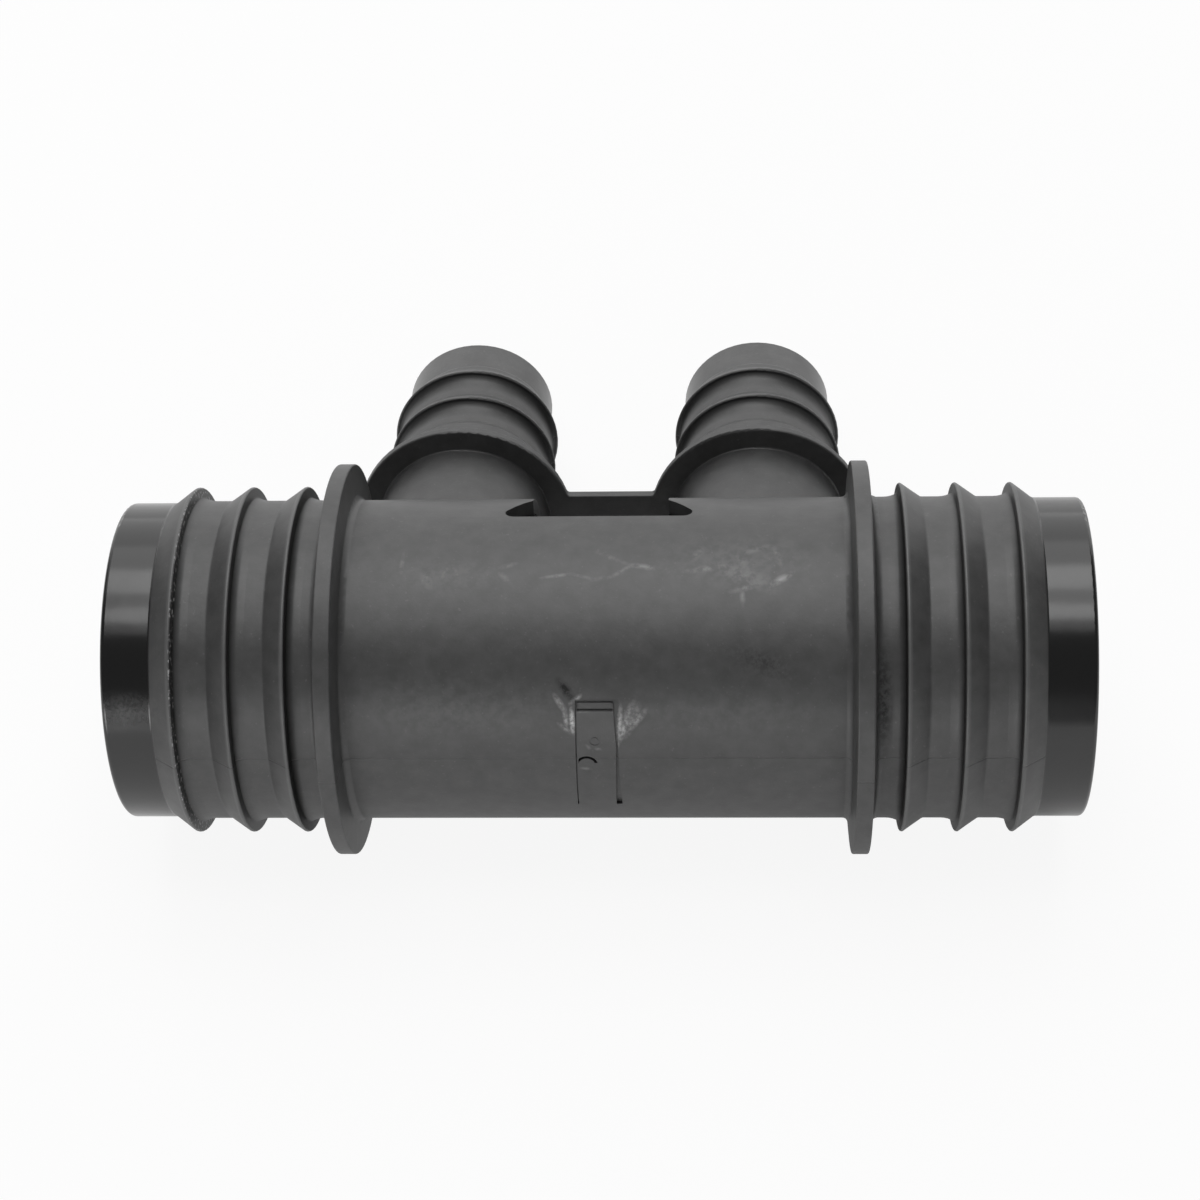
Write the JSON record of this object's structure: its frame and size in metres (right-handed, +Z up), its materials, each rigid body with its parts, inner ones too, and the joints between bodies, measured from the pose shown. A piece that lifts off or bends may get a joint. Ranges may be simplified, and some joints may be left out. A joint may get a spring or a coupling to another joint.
{
  "type": "radiator hose connector",
  "caption": "Moulded black plastic coolant hose connector: a straight barbed tube with flanges, and parallel barbed side stubs tied by a bar.",
  "frame": {"origin": "on the floor, under the middle of the box that holds the part as it lies", "axes": "+X along the main tube, +Y the side that the stubs point to, +Z up; the stubs slope down to the floor"},
  "size_m": [0.1142, 0.0806, 0.0472],
  "materials": {
    "glass_filled_nylon": "moulded, fine matt texture with gloss at the noses"
  },
  "bodies": {
    "root": {"connector_body": "glass_filled_nylon"}
  },
  "joints": []
}
